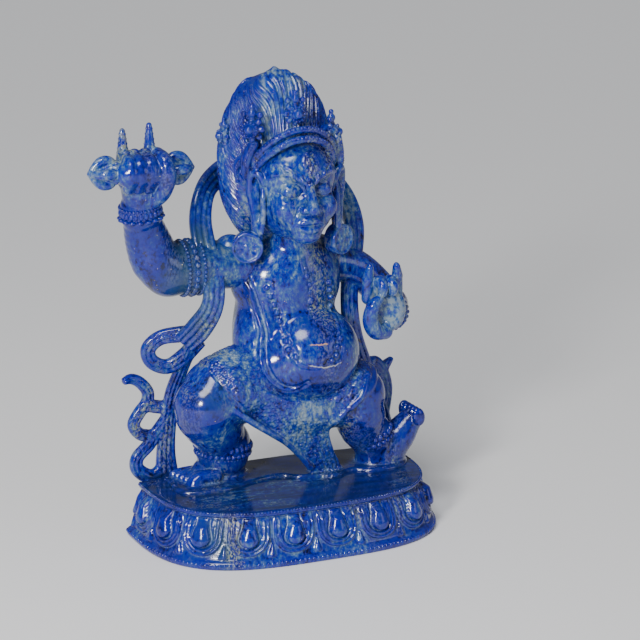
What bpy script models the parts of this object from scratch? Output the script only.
"""Vajrapani statue carved with its lotus base from one block of lapis lazuli.

Metres, +Z up. The front of the statue faces -Y. The origin is the centre of the base's underside.
The figure is drawn in its carver's own units, FIGURE_UNITS tall from the top of the base to the hair,
so that its pose and proportions follow FIGURE_HEIGHT. "right" and "left" are the figure's own.
"""

import math

import bmesh
import bpy
from mathutils import Matrix, Vector

# Figure
FIGURE_HEIGHT = 0.266
FIGURE_UNITS = 266.0
FIGURE_SETBACK = 0.004
SCARF_THICKNESS = 0.0065

# Lotus base: the widest line lies well behind the middle, so the plan is a D with a nearly flat back
BASE_HEIGHT = 0.034
BASE_HALF_WIDTH = 0.0994
BASE_FRONT_DEPTH = 0.0953
BASE_BACK_DEPTH = 0.012
FRONT_SQUARENESS = 3.2
BACK_SQUARENESS = 2.5
RIM_INSET = 0.0083
RIM_HEIGHT = 0.0032
RIM_RECESS = 0.0024
FOOT_HEIGHT = 0.0052
FOOT_STEP = 0.0034
PETAL_COUNT = 17
PETAL_GAP = 0.0028
PETAL_BORDER = 0.0019
LOBE_THICKNESS = 0.0056

# Surface
CHISEL_WIDTH = 0.0009
FACET_TARGET = 9900
OUTLINE_STEPS = 96
BODY_SEGMENTS = 28
BODY_RINGS = 18

LAPIS_BLUE = (0.03, 0.07, 0.45, 1.0)
LAPIS_ROUGHNESS = 0.28

UNIT = FIGURE_HEIGHT / FIGURE_UNITS
BASE_MIDDLE = (BASE_FRONT_DEPTH - BASE_BACK_DEPTH) / 2
WALL_FOOT = FOOT_HEIGHT + FOOT_STEP / 2
WALL_TOP = BASE_HEIGHT - RIM_HEIGHT - RIM_RECESS / 2


def figure_point(x, y, z):
    """A point of the figure in its own units, in metres on the base."""
    return Vector((x * UNIT, FIGURE_SETBACK + y * UNIT, BASE_HEIGHT + z * UNIT))


# Rough shapes: closed solids that are merged into one skin at the end
rough = []


def keep(obj):
    rough.append(obj)
    return obj


def ball(name, centre, radii, turn=(0.0, 0.0, 0.0)):
    """An ellipsoid of the figure, with its radii in figure units and its turn in degrees."""
    bpy.ops.mesh.primitive_uv_sphere_add(segments=BODY_SEGMENTS, ring_count=BODY_RINGS, radius=1.0)
    obj = bpy.context.object
    obj.name = name
    rotation = Matrix.Rotation(math.radians(turn[2]), 4, "Z")
    rotation @= Matrix.Rotation(math.radians(turn[1]), 4, "Y")
    rotation @= Matrix.Rotation(math.radians(turn[0]), 4, "X")
    scale = Matrix.Diagonal((*[radius * UNIT for radius in radii], 1.0))
    obj.data.transform(Matrix.Translation(figure_point(*centre)) @ rotation @ scale)
    return keep(obj)


def smooth_spline(curve, points, radii):
    """One bezier spline through points, with a radius at each."""
    spline = curve.splines.new("BEZIER")
    spline.bezier_points.add(len(points) - 1)
    for knot, point, radius in zip(spline.bezier_points, points, radii):
        knot.co = point
        knot.handle_left_type = knot.handle_right_type = "AUTO"
        knot.radius = radius
    return spline


def tube(name, points, radii):
    """A round, tapering form through points, in metres, with its two ends rounded."""
    curve = bpy.data.curves.new(name, "CURVE")
    curve.dimensions = "3D"
    curve.bevel_depth = 1.0
    curve.bevel_resolution = 4
    curve.resolution_u = 6
    curve.use_fill_caps = True
    smooth_spline(curve, points, radii)
    obj = bpy.data.objects.new(name, curve)
    bpy.context.scene.collection.objects.link(obj)
    keep(obj)
    for point, radius in ((points[0], radii[0]), (points[-1], radii[-1])):
        bpy.ops.mesh.primitive_uv_sphere_add(segments=16, ring_count=10, radius=radius, location=point)
        keep(bpy.context.object).name = f"{name}_end"
    return obj


def limb(name, *stations):
    """A tube through stations (x, y, z, radius) in figure units."""
    return tube(name, [figure_point(*s[:3]) for s in stations], [s[3] * UNIT for s in stations])


def fluted_section(name, width, thickness, flutes=3):
    """The section of a carved scarf: a flat oval with shallow flutes along both faces."""
    curve = bpy.data.curves.new(name, "CURVE")
    curve.dimensions = "2D"
    spline = curve.splines.new("POLY")
    steps = 12 * flutes
    spline.points.add(steps - 1)
    for index in range(steps):
        angle = 2 * math.pi * index / steps
        across = math.cos(angle)
        flute = 1 - 0.45 * abs(math.sin(flutes * math.pi * across / 2))
        rise = math.copysign(abs(math.sin(angle)) ** 0.6, math.sin(angle)) * flute
        spline.points[index].co = (across * width / 2, rise * thickness / 2, 0.0, 1.0)
    spline.use_cyclic_u = True
    section = bpy.data.objects.new(name, curve)
    section.hide_render = True
    section.display_type = "WIRE"
    guides.objects.link(section)
    return section


def scarf(name, width, *stations):
    """A fluted ribbon, flat to the front, through stations (x, y, z, share of its width)."""
    section = fluted_section(f"{name}_section", width * UNIT, SCARF_THICKNESS)
    curve = bpy.data.curves.new(name, "CURVE")
    curve.dimensions = "3D"
    curve.twist_mode = "Z_UP"
    curve.bevel_mode = "OBJECT"
    curve.bevel_object = section
    curve.resolution_u = 7
    curve.use_fill_caps = True
    # The spline lies in its own XY plane, which the object's turn stands up as the statue's XZ plane
    stand_up = Matrix.Rotation(math.radians(90), 4, "X")
    flat = [stand_up.inverted() @ figure_point(*s[:3]) for s in stations]
    smooth_spline(curve, flat, [s[3] for s in stations])
    obj = bpy.data.objects.new(name, curve)
    obj.matrix_world = stand_up
    bpy.context.scene.collection.objects.link(obj)
    return keep(obj)


def cloth(name, thickness, depth, lean, outline):
    """A flat fall of cloth with a rounded outline through corners (x, z), leaning back by degrees."""
    curve = bpy.data.curves.new(name, "CURVE")
    curve.dimensions = "2D"
    curve.fill_mode = "BOTH"
    curve.extrude = (thickness / 2 - 1.5) * UNIT
    curve.bevel_depth = 1.5 * UNIT
    curve.bevel_resolution = 2
    curve.resolution_u = 6
    corners = [Vector((x * UNIT, z * UNIT, 0.0)) for x, z in outline]
    smooth_spline(curve, corners, [1.0] * len(corners)).use_cyclic_u = True
    obj = bpy.data.objects.new(name, curve)
    stand_up = Matrix.Rotation(math.radians(90 - lean), 4, "X")
    obj.matrix_world = Matrix.Translation(figure_point(0, depth, 0)) @ stand_up
    bpy.context.scene.collection.objects.link(obj)
    return keep(obj)


def signed_power(value, power):
    return math.copysign(abs(value) ** power, value)


def base_outline(inset, steps=OUTLINE_STEPS):
    """Points of the base's plan, set in from its widest outline."""
    points = []
    for index in range(steps):
        angle = 2 * math.pi * index / steps
        front = math.sin(angle) < 0
        power = 2 / (FRONT_SQUARENESS if front else BACK_SQUARENESS)
        depth = (BASE_FRONT_DEPTH if front else BASE_BACK_DEPTH) - inset
        x = (BASE_HALF_WIDTH - inset) * signed_power(math.cos(angle), power)
        y = BASE_MIDDLE + depth * signed_power(math.sin(angle), power)
        points.append(Vector((x, y, 0.0)))
    return points


def wall_inset(height):
    """How far the petal wall stands in from the widest outline at a height."""
    share = (height - WALL_FOOT) / (WALL_TOP - WALL_FOOT)
    return FOOT_STEP + (RIM_INSET + RIM_RECESS - FOOT_STEP) * share


def base_core():
    """The base without its petals: a loft of its plan up the moulded edge."""
    below_floor = -2 * CHISEL_WIDTH
    rim_middle = BASE_HEIGHT - RIM_HEIGHT / 2
    profile = [
        (below_floor, 0.0007),
        (FOOT_HEIGHT * 0.2, 0.0),
        (FOOT_HEIGHT * 0.85, 0.0),
        (WALL_FOOT, FOOT_STEP),
        (WALL_TOP, RIM_INSET + RIM_RECESS),
        (BASE_HEIGHT - RIM_HEIGHT, RIM_INSET + 0.0005),
        (rim_middle, RIM_INSET),
        (BASE_HEIGHT, RIM_INSET + 0.0008),
    ]
    mesh = bmesh.new()
    rings = []
    for height, inset in profile:
        ring = [mesh.verts.new(p + Vector((0, 0, height))) for p in base_outline(inset)]
        rings.append(ring)
    for lower, upper in zip(rings, rings[1:]):
        for index in range(OUTLINE_STEPS):
            after = (index + 1) % OUTLINE_STEPS
            mesh.faces.new((lower[index], lower[after], upper[after], upper[index]))
    mesh.faces.new(list(reversed(rings[0])))
    mesh.faces.new(rings[-1])
    data = bpy.data.meshes.new("base_core")
    mesh.to_mesh(data)
    mesh.free()
    obj = bpy.data.objects.new("base_core", data)
    bpy.context.scene.collection.objects.link(obj)
    return keep(obj)


def wall_point(arc, height, proud=0.0):
    """The point of the petal wall at a share of the way round it, with the outward direction there."""
    outline = base_outline(wall_inset(height) - proud, 8 * OUTLINE_STEPS)
    lengths = [(b - a).length for a, b in zip(outline, outline[1:] + outline[:1])]
    left = (arc % 1.0) * sum(lengths)
    index = 0
    while left > lengths[index] and index < len(lengths) - 1:
        left -= lengths[index]
        index += 1
    after = outline[(index + 1) % len(outline)]
    along = (after - outline[index]).normalized()
    point = outline[index] + along * left + Vector((0, 0, height))
    return point, Vector((along.y, -along.x, 0.0))


def petals():
    """Lotus petals hanging from the rim, each a raised U border round a swelling lobe."""
    around = base_outline(wall_inset(BASE_HEIGHT / 2), 8 * OUTLINE_STEPS)
    length = sum((b - a).length for a, b in zip(around, around[1:] + around[:1]))
    half = (length / PETAL_COUNT - PETAL_GAP) / 2 - PETAL_BORDER
    low = WALL_FOOT + 0.6 * PETAL_BORDER
    wall_height = WALL_TOP - WALL_FOOT
    slope = math.degrees(math.atan((wall_inset(WALL_TOP) - wall_inset(WALL_FOOT)) / wall_height))
    for number in range(PETAL_COUNT):
        middle = number / PETAL_COUNT
        border = []
        for step in range(9):
            turn = math.pi * (step / 8)
            side = -math.cos(turn) * half
            drop = math.sin(turn) ** 0.55
            height = WALL_TOP - (WALL_TOP - low) * drop
            border.append(wall_point(middle + side / length, height, 0.5 * PETAL_BORDER)[0])
        tube(f"petal_border_{number}", border, [PETAL_BORDER] * len(border))
        point, out = wall_point(middle, low + 0.47 * wall_height)
        facing = Matrix.Rotation(math.atan2(out.y, out.x) + math.pi / 2, 4, "Z")
        lean = Matrix.Rotation(math.radians(-slope - 3), 4, "X")
        for name, share, reach, thickness in (("leaf", 0.86, 0.62, 0.5), ("lobe", 0.44, 0.46, 1.0)):
            bpy.ops.mesh.primitive_uv_sphere_add(segments=20, ring_count=14, radius=1.0)
            obj = bpy.context.object
            obj.name = f"{name}_{number}"
            scale = Matrix.Diagonal((share * half, thickness * LOBE_THICKNESS, reach * wall_height, 1.0))
            obj.data.transform(Matrix.Translation(point) @ facing @ lean @ scale)
            keep(obj)


# Figure forms, from the feet up, in figure units
def legs():
    limb("right_leg", (-2, 24, 64, 23), (-30, 15, 61, 22), (-55, 8, 55, 20.5), (-46, 15, 38, 19), (-38, 24, 22, 14.5))
    limb("right_anklet", (-38.5, 23.5, 22, 17.4), (-38, 24, 19, 17.4))
    limb("right_foot", (-36, 26, 12, 14.5), (-40, 26, 5, 13), (-50, 26, 3, 10.5), (-56, 25, 1, 8))
    ball("right_sole", (-40, 27, 0), (23, 16, 6))
    for toe in range(5):
        across = 10.5 + 6.8 * toe
        size = 5.0 if toe == 0 else 3.9
        tip = -60 - 2.5 * toe
        limb(f"right_toe_{toe}", (-46, across, 6, size), (tip + 5, across, 5.5, size), (tip, across, 2, size * 0.9))
    limb("left_leg", (18, 24, 62, 23), (36, 14, 54, 21), (48, 7, 42, 18), (53, 9, 28, 15), (60, 11, 18, 12))
    limb("left_anklet", (59, 10.5, 22, 14.6), (61, 11, 19.5, 14.6))
    limb("left_foot", (62, 12, 14, 12), (71, 12, 9, 11.5), (80, 11, 17, 11), (87, 10, 26, 8.5))
    ball("left_heel", (68, 13, 4), (17, 13, 9))
    for toe in range(5):
        ball(f"left_toe_{toe}", (90, 0.5 + 5 * toe, 32), (4.6, 2.8, 6.4), (0, -12, 0))


def skirt():
    ball("hips", (8, 25, 64), (44, 26, 27))
    limb("right_sleeve", (0, 24, 65, 26), (-24, 17, 65, 25), (-41, 12, 63, 23))
    limb("left_sleeve", (18, 24, 62, 25), (33, 15, 58, 23.5), (43, 10, 54, 21))
    limb(
        "right_hem",
        (-45, 26, 80, 1.6), (-52, 14, 84, 2), (-55, 3, 75, 2.4), (-49, -8, 61, 2.4), (-34, -11, 48, 2.4),
        (-17, -8, 36, 2.4), (-6, -4, 28, 2.4), (5, 0, 17, 2.2), (13, 2, 7, 2),
    )
    limb("left_hem", (27, -8, 40, 2), (36, -10.5, 49, 2.2), (50, -9, 58, 2.2), (58, 2, 66, 2), (60, 16, 68, 1.6))
    ball("lap", (10, 2, 46), (34, 13, 16), (0, 8, 0))
    fall = [
        (-42, 63), (-39, 56), (-29, 46.5), (-16, 36), (-5, 28), (6, 17), (13, 8), (19, -3), (39, -3), (31, 14),
        (25, 28), (25, 38), (33, 47), (44, 56), (42, 61), (28, 57), (10, 55), (-8, 58), (-20, 64), (-34, 67),
    ]
    cloth("apron", 9, 7.5, -14, fall)
    for fold in range(6):
        across = -5 + 5.2 * fold
        top = (across * 1.7 - 4, -12.5, 58, 2)
        middle = (across * 0.95 + 5, -6.5, 34, 2)
        limb(f"apron_fold_{fold}", top, middle, (across * 0.5 + 23, 1.5, 3, 1.6))
    for fold in range(3):
        rise = 8 * fold
        limb(f"thigh_fold_{fold}", (-40, -6, 76 + rise, 1.8), (-28, -9, 64 + rise, 2.2), (-12, -11, 54 + rise / 2, 1.8))


TORSO = {
    "chest": ((6, 25, 128), (37, 21, 27)),
    "shoulders": ((7, 27, 141), (44, 17, 16)),
    "breast": ((7, 14, 126), (31, 16, 28)),
    "flanks": ((5, 21, 92), (36, 25, 38)),
    "hip_roll": ((6, 14, 76), (38, 28, 27)),
    "belly": ((15, 9, 82), (33, 31, 31)),
    "back": ((8, 33, 98), (34, 17, 48)),
}


def torso_front(x, z):
    """The depth of the torso's front surface at a place seen from straight ahead."""
    depth = 30.0
    for centre, radii in TORSO.values():
        rest = 1 - ((x - centre[0]) / radii[0]) ** 2 - ((z - centre[2]) / radii[2]) ** 2
        if rest > 0:
            depth = min(depth, centre[1] - radii[1] * math.sqrt(rest))
    return depth


def relief(name, girth, *places):
    """A raised cord on the torso's front through places (x, z), half sunk in it."""
    limb(name, *[(x, torso_front(x, z) + 0.3 * girth, z, girth) for x, z in places])


def torso():
    for name, (centre, radii) in TORSO.items():
        ball(name, centre, radii)
    ball("right_epaulet", (-35, 27, 151), (12, 11, 12))
    limb("neck", (7, 20, 140, 19), (7, 18, 160, 16))
    relief("sash", 2.2, (-25, 146), (-28, 128), (-29, 112), (-29, 96), (-27, 82), (-20, 68), (-8, 60), (5, 57))
    relief("belly_fold", 1.6, (-21, 104), (-19, 92), (-17, 80), (-12, 70), (-3, 63), (8, 61), (15, 66))
    for side in (-1, 1):
        strand = []
        for out, height in ((24, 146), (25.5, 136), (24, 124), (21, 112), (18, 100), (12, 90), (4, 85)):
            strand.append((7 + out * side + (125 - height) * 0.08, height))
        relief(f"necklace_{side}", 1.9, *strand)
    relief("pendant", 2.4, (7, 144), (8, 134), (8.5, 122), (9, 110))


FACE_MIDDLE = 6.5


def head():
    ball("cranium", (FACE_MIDDLE, 12, 198), (26.5, 26, 25))
    ball("jaw", (FACE_MIDDLE, 9, 177), (24, 22.5, 21))
    ball("chin", (FACE_MIDDLE, -8, 162), (9, 8, 6))
    ball("muzzle", (FACE_MIDDLE, -8.5, 171), (13, 8, 8.5))
    limb("upper_lip", (-2, -14, 170, 1.6), (FACE_MIDDLE, -17, 173, 2), (15, -14, 170, 1.6))
    limb("lower_lip", (-1, -14, 167.5, 1.4), (FACE_MIDDLE, -16.5, 166, 2), (14, -14, 167.5, 1.4))
    limb("nose", (FACE_MIDDLE, -14, 195, 2.4), (FACE_MIDDLE, -17, 187, 3), (FACE_MIDDLE, -19, 179.5, 4.4))
    ball("third_eye", (FACE_MIDDLE, -13.5, 207), (2.4, 2.4, 4.6))
    for side in (-1, 1):
        middle = FACE_MIDDLE + 10.5 * side
        inner, outer = FACE_MIDDLE + 4 * side, FACE_MIDDLE + 20 * side
        limb(f"brow_{side}", (inner, -14.5, 194.5, 1.9), (middle, -12, 199, 2.2), (outer, -4.5, 201, 1.4))
        ball(f"eye_{side}", (middle, -10.5, 190), (5.4, 3.6, 3.6))
        ball(f"cheek_{side}", (FACE_MIDDLE + 13 * side, -6, 179), (8, 7.5, 7.5))
        ball(f"nostril_{side}", (FACE_MIDDLE + 4.5 * side, -15, 178.5), (2.8, 3.2, 2.6))
        rim = []
        for out, depth, height, girth in ((25, 4, 198, 2.6), (29, 7, 196, 2.8), (28.5, 7, 184, 3.2), (27, 5, 170, 3)):
            rim.append((FACE_MIDDLE + out * side, depth, height, girth))
        limb(f"ear_{side}", *rim, (FACE_MIDDLE + 27.5 * side, 5, 160, 2.6))


def earrings():
    for side, turn in ((-1, -22), (1, 26)):
        facing = Matrix.Rotation(math.radians(turn), 4, "Z")
        bpy.ops.mesh.primitive_cylinder_add(vertices=28, radius=9.8 * UNIT, depth=9 * UNIT)
        obj = bpy.context.object
        obj.name = f"earring_{side}"
        face_front = Matrix.Rotation(math.radians(90), 4, "X")
        middle = figure_point(4 + 31 * side, 6.5, 154.5)
        obj.data.transform(Matrix.Translation(middle) @ facing @ face_front)
        keep(obj)


HAIR_CENTRE = (0.3, 27, 205)
HAIR_RADII = (37.4, 26.5, 56.5)
HAIR_FULLNESS = 0.87
LOCKS_PER_SIDE = 15
LOCK_PITCH = 0.075
LOCK_SWEEP = 0.5
LOCK_GIRTH = 3.9


def hair_point(azimuth, rise, swell=1.0):
    """A point on the hair: azimuth from the front in degrees, rise from 0 at the nape to 1 at the top."""
    turn = math.radians(azimuth)
    up = math.radians(-50 + 140 * rise)
    ring = abs(math.cos(up)) ** HAIR_FULLNESS * swell
    return (
        HAIR_CENTRE[0] + HAIR_RADII[0] * ring * math.sin(turn),
        HAIR_CENTRE[1] - HAIR_RADII[1] * ring * math.cos(turn),
        HAIR_CENTRE[2] + HAIR_RADII[2] * math.sin(up) * swell,
    )


def hair():
    """The tall flame-like hair: a dome with locks combed up and back from the face and the nape."""
    ball("hair_dome", HAIR_CENTRE, [radius - 0.4 * LOCK_GIRTH for radius in HAIR_RADII])
    ball("hair_fall", (HAIR_CENTRE[0], 31, 188), (34, 20, 34))
    for side in (-1, 1):
        for lock in range(LOCKS_PER_SIDE):
            root = 0.62 - LOCK_PITCH * lock
            first = max(0.0, (0.02 - root) / LOCK_SWEEP)
            last = min(1.0, (0.96 - root) / LOCK_SWEEP)
            stations = []
            for step in range(7):
                share = first + (last - first) * step / 6
                place = hair_point(side * (48 + 130 * share), root + LOCK_SWEEP * share)
                stations.append((*place, LOCK_GIRTH))
            limb(f"lock_{side}_{lock}", *stations)
    for lock in range(7):
        across = -42 + 14 * lock
        stations = []
        for step in range(4):
            place = hair_point(across * (1 + step / 6) - 8 * step, 0.61 + 0.125 * step)
            stations.append((*place, LOCK_GIRTH * (1 - 0.16 * step)))
        limb(f"front_lock_{lock}", *stations)


def crown():
    """Two beaded bands across the forehead, with rosettes and buds standing on them."""
    for name, lift, setback in (("lower", 0, 0), ("upper", 5.5, 2.5)):
        band = []
        for step in range(11):
            turn = math.radians(-100 + 20 * step)
            across = math.sin(turn) * (26.5 + lift * 0.5)
            height = 196 + (26.5 + lift) * math.cos(turn)
            band.append((4.5 + across, setback + 13 - 24.5 * math.cos(turn), height, 2.6))
        limb(f"tiara_{name}", *band)
    for side in (-1, 1):
        limb(f"ribbon_{side}", (4 + 28 * side, 3, 219, 3.6), (4 + 31 * side, 7, 209, 3.6), (4 + 31 * side, 8, 199, 2.8))
    stones = ((0.5, -5, 237.5, 6.6), (-26, 0, 229, 7), (30, 7, 223, 6.4), (-35, 24, 222, 5.2), (37, 27, 217, 4.8))
    for x, y, z, size in stones:
        ball(f"rosette_{int(x)}", (x, y, z), (size, size * 0.8, size))
        ball(f"bud_{int(x)}", (x * 0.97, y + 2, z + size + 2.5), (size * 0.55, size * 0.5, size * 0.6))


def raised_arm():
    limb("right_shoulder", (-20, 27, 140, 16.5), (-38, 28, 140, 15.5), (-56, 28, 140, 15.5), (-71, 28, 140, 15.8))
    limb("right_forearm", (-72, 28, 139, 15.8), (-80, 27, 147, 15.8), (-86, 25, 161, 14), (-91, 20, 174, 11.6))
    limb("right_armlet", (-55, 28, 140, 17), (-61, 28, 140, 17))
    limb("right_bracelet", (-92, 18.5, 178.5, 13.2), (-92.5, 18, 181.5, 13.2))
    limb("right_wrist", (-92, 18, 182, 10.2), (-93, 15, 193, 12))
    ball("right_fist", (-93, 13, 203), (16, 10, 12.5))
    limb("right_bent_0", (-101, 10, 215, 4.2), (-101, -1, 213, 4.6), (-101, -3, 204, 4.8), (-101, 3, 197, 3.8))
    limb("right_bent_1", (-93, 10, 216, 4.4), (-93, -2, 214, 4.9), (-93, -3.5, 204, 5), (-93, 3, 197, 4))
    limb("right_thumb", (-84, 10, 215, 4.6), (-84, -1, 213, 5.2), (-82, -3, 203, 5.4), (-85, 3, 192, 5))
    for name, x, base, tip in (("index", -88, 213, 233.5), ("little", -105, 212, 231)):
        limb(f"right_{name}", (x, 13, base, 4.2), (x, 12, (base + tip) / 2, 3.1), (x, 12, tip, 1.8))


VAJRA_CENTRE = (-94.8, 8, 207)
VAJRA_HALF_LENGTH = 34.2


def vajra():
    """The sceptre through the fist: at each end a collar and four prongs that close on a point."""
    x, y, z = VAJRA_CENTRE
    limb("vajra_grip", (x - 20, y, z, 5), (x + 20, y, z, 5))
    for side in (-1, 1):
        limb(f"vajra_collar_{side}", (x + 15 * side, y, z, 7.5), (x + 18 * side, y, z, 7.5))
        tip = x + (VAJRA_HALF_LENGTH - 1.5) * side
        limb(f"vajra_core_{side}", (x + 16 * side, y, z, 6), (x + 24 * side, y, z, 7), (tip, y, z, 1.5))
        for prong in range(4):
            turn = math.pi / 4 + prong * math.pi / 2
            stations = []
            for along, out, girth in ((17, 4.2, 2.2), (21, 6.8, 2.8), (25.5, 6.2, 3), (29.5, 3.6, 2.2)):
                stations.append((x + along * side, y + out * math.cos(turn), z + out * math.sin(turn), girth))
            limb(f"vajra_prong_{side}_{prong}", *stations, (tip, y, z, 1.4))


def lowered_arm():
    limb("left_shoulder", (34, 28, 136, 14), (54, 27, 131, 12), (69, 23, 118, 11.5), (75, 14, 106, 11))
    limb("left_forearm", (75, 14, 106, 11), (69, 0, 106, 10.5), (62, -9, 107, 9))
    limb("left_bracelet", (67, -3, 106, 11.3), (65, -6, 106, 11.3))
    ball("left_palm", (58.5, -14, 111), (13, 6.5, 15.5), (0, 0, -14))
    limb("left_thumb", (57, -16, 97, 5.2), (49, -19, 99, 5.4), (44.5, -21, 107, 5), (45.5, -23, 116, 4.2), (49.5, -23, 120, 3))
    limb("left_index", (65.5, -15, 121, 4), (65.5, -16, 132, 3.2), (63.8, -18, 140, 1.8))
    limb("left_little", (46.5, -13, 119, 4.2), (46, -14, 131, 3.4), (47, -15, 140, 1.8))
    for finger in range(2):
        x = 52.5 + 7 * finger
        limb(f"left_bent_{finger}", (x, -13, 121, 3.9), (x, -17, 130, 3.9), (x, -22, 128, 3.6), (x, -22, 124, 3.2))


def scarves():
    """The long scarf: an arch behind the head, a loop and curl at one side and a flame at the other."""
    scarf(
        "scarf_right", 15.5,
        (5, 56, 196, 1.1), (-18, 54, 196, 1.1), (-34, 46, 191, 1), (-44, 37, 183, 0.9), (-49.5, 29, 168, 0.95),
        (-49, 21, 150, 0.95), (-46.5, 15, 132, 0.9), (-48, 15, 116, 0.95), (-55, 20, 102, 1.1), (-63, 25, 92, 1),
    )
    scarf(
        "scarf_loop", 9,
        (-54, 23, 98, 1.1), (-64, 26, 98, 1.1), (-77, 30, 96, 1), (-84.5, 32, 89, 1), (-82, 33, 80.5, 1),
        (-72, 33, 76, 1), (-62, 30, 82, 1.1), (-53, 25, 93, 1.1),
    )
    scarf(
        "scarf_strand", 10,
        (-58, 26, 90, 0.9), (-62, 33, 74, 0.9), (-66, 40, 56, 1), (-68, 44, 36, 1.1), (-69.5, 45, 16, 1.25),
        (-69, 45, -2, 1.6),
    )
    scarf(
        "scarf_curl", 8.5,
        (-70, 45, 5, 1.3), (-79, 45, 0, 1.2), (-88.5, 45, 6, 1.1), (-89, 45, 14, 1), (-81, 45, 22, 1),
        (-79, 45, 27, 1), (-87, 45, 30, 0.95), (-91, 45, 36.5, 0.95), (-87, 45, 44, 0.95), (-82, 45, 50, 0.95),
        (-81, 45, 57, 0.95), (-86, 45, 64, 0.9), (-92, 45, 67, 0.8), (-97.5, 44, 66, 0.5),
    )
    scarf("scarf_tie", 8, (-84, 45, 49, 1), (-75, 44, 47, 1.1), (-66, 42, 46, 1))
    scarf("scarf_tie_low", 8.5, (-81, 45, 23, 1), (-76, 45, 29, 1), (-70, 44, 37, 1))
    scarf(
        "scarf_left", 14,
        (5, 56, 196, 1.2), (28, 54, 194, 1.15), (43, 45, 188, 1), (52.5, 36, 175, 0.95), (56, 29, 158, 0.95),
        (54, 25, 140, 0.9), (50.5, 23, 122, 0.85), (50, 22, 104, 0.85), (54, 25, 84, 0.95), (62, 30, 64, 1.05),
        (70, 32, 44, 1), (78, 33, 22, 1.1), (80, 33, -2, 1.5),
    )
    scarf(
        "scarf_flame", 9.5,
        (66, 31, 56, 1.1), (73, 33, 63, 0.9), (79, 33, 56, 0.9), (82, 34, 45, 1), (81, 34, 33, 1), (77, 33, 18, 1.1),
    )
    scarf("scarf_flame_tip", 8, (74, 32, 52, 1.2), (80, 34, 58, 1), (87, 35, 64, 0.35))
    scarf("scarf_flame_lobe", 8, (66, 31, 54, 1.2), (69, 32, 62, 1), (72, 33, 66, 0.6))


def ground():
    """The low shelf of stone that joins the feet and the end of the apron."""
    ball("shelf", (2, 30, -1), (74, 17, 4.5))
    ball("left_shelf", (64, 24, -1), (24, 19, 5))


def carve(collection):
    """Merges the rough shapes into one closed skin, with no more facets than it needs."""
    graph = bpy.context.evaluated_depsgraph_get()
    block = bmesh.new()
    for obj in rough:
        mesh = bpy.data.meshes.new_from_object(obj.evaluated_get(graph))
        mesh.transform(obj.matrix_world)
        block.from_mesh(mesh)
        bpy.data.meshes.remove(mesh)
    data = bpy.data.meshes.new("statue")
    block.to_mesh(data)
    block.free()
    for obj in rough:
        bpy.data.objects.remove(obj)
    statue = bpy.data.objects.new("statue", data)
    collection.objects.link(statue)
    skin = statue.modifiers.new("skin", "REMESH")
    skin.mode = "VOXEL"
    skin.voxel_size = CHISEL_WIDTH
    graph = bpy.context.evaluated_depsgraph_get()
    fine = bpy.data.meshes.new_from_object(statue.evaluated_get(graph))
    statue.modifiers.clear()
    statue.data = largest_body(fine)
    facets = sum(len(face.vertices) - 2 for face in statue.data.polygons)
    plane = statue.modifiers.new("facets", "DECIMATE")
    plane.ratio = FACET_TARGET / facets
    plane.use_collapse_triangulate = True
    return statue


def largest_body(mesh):
    """The mesh's outer skin, without the small closed pockets that merging can leave inside it."""
    shape = bmesh.new()
    shape.from_mesh(mesh)
    unseen = set(shape.verts)
    bodies = []
    while unseen:
        body = [unseen.pop()]
        for vert in body:
            for edge in vert.link_edges:
                other = edge.other_vert(vert)
                if other in unseen:
                    unseen.remove(other)
                    body.append(other)
        bodies.append(body)
    bodies.sort(key=len)
    bmesh.ops.delete(shape, geom=[v for body in bodies[:-1] for v in body], context="VERTS")
    for face in shape.faces:
        face.smooth = True
    shape.to_mesh(mesh)
    shape.free()
    return mesh


def flat_underside(statue):
    """Saws the block off level at the underside of the base."""
    size = 4 * BASE_HALF_WIDTH
    bpy.ops.mesh.primitive_cube_add(size=1.0)
    cutter = bpy.context.object
    cutter.name = "saw"
    cutter.data.transform(Matrix.Diagonal((size, size, size, 1.0)))
    cutter.location.z = -size / 2
    cutter.hide_render = True
    cutter.display_type = "WIRE"
    for collection in list(cutter.users_collection):
        collection.objects.unlink(cutter)
    guides.objects.link(cutter)
    saw = statue.modifiers.new("saw", "BOOLEAN")
    saw.operation = "DIFFERENCE"
    saw.solver = "EXACT"
    saw.object = cutter


def lapis():
    material = bpy.data.materials.new("lapis_lazuli")
    material.use_nodes = True
    shader = material.node_tree.nodes["Principled BSDF"]
    shader.inputs["Base Color"].default_value = LAPIS_BLUE
    shader.inputs["Roughness"].default_value = LAPIS_ROUGHNESS
    shader.inputs["Metallic"].default_value = 0.0
    return material


for old in list(bpy.data.objects):
    bpy.data.objects.remove(old)
carving = bpy.data.collections.new("vajrapani_statue")
guides = bpy.data.collections.new("guides")
bpy.context.scene.collection.children.link(carving)
bpy.context.scene.collection.children.link(guides)

base_core()
petals()
ground()
legs()
skirt()
torso()
head()
earrings()
hair()
crown()
raised_arm()
vajra()
lowered_arm()
scarves()
finished = carve(carving)
flat_underside(finished)
finished.data.materials.clear()
finished.data.materials.append(lapis())
